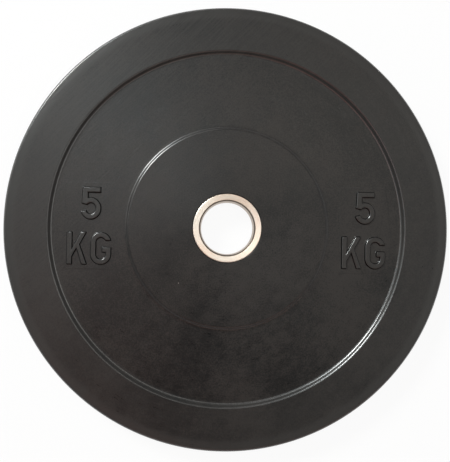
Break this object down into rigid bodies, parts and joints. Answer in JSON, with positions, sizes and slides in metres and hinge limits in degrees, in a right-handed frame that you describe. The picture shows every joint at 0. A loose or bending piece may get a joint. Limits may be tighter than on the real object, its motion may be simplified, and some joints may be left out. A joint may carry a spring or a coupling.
{
  "type": "bumper plate",
  "caption": "Round rubber weight plate with a raised rim, a recessed web with raised weight marks, a raised boss and a turned steel hub with a through bore.",
  "frame": {"origin": "middle of the plate, on the bore's axis, halfway between the two faces", "axes": "+Z along the bar, out of the front face; +Y up on the front face, as its marks read; +X to the right of it"},
  "size_m": [0.45, 0.45, 0.0274],
  "materials": {
    "black_rubber": "satin moulded rubber",
    "turned_steel": "fine turned, with concentric tool marks",
    "plain_steel": "plain sheet, buried in the rubber"
  },
  "bodies": {
    "root": {"rubber_body": "black_rubber", "hub_sleeve": "turned_steel", "anchor_plate": "plain_steel"}
  },
  "joints": []
}
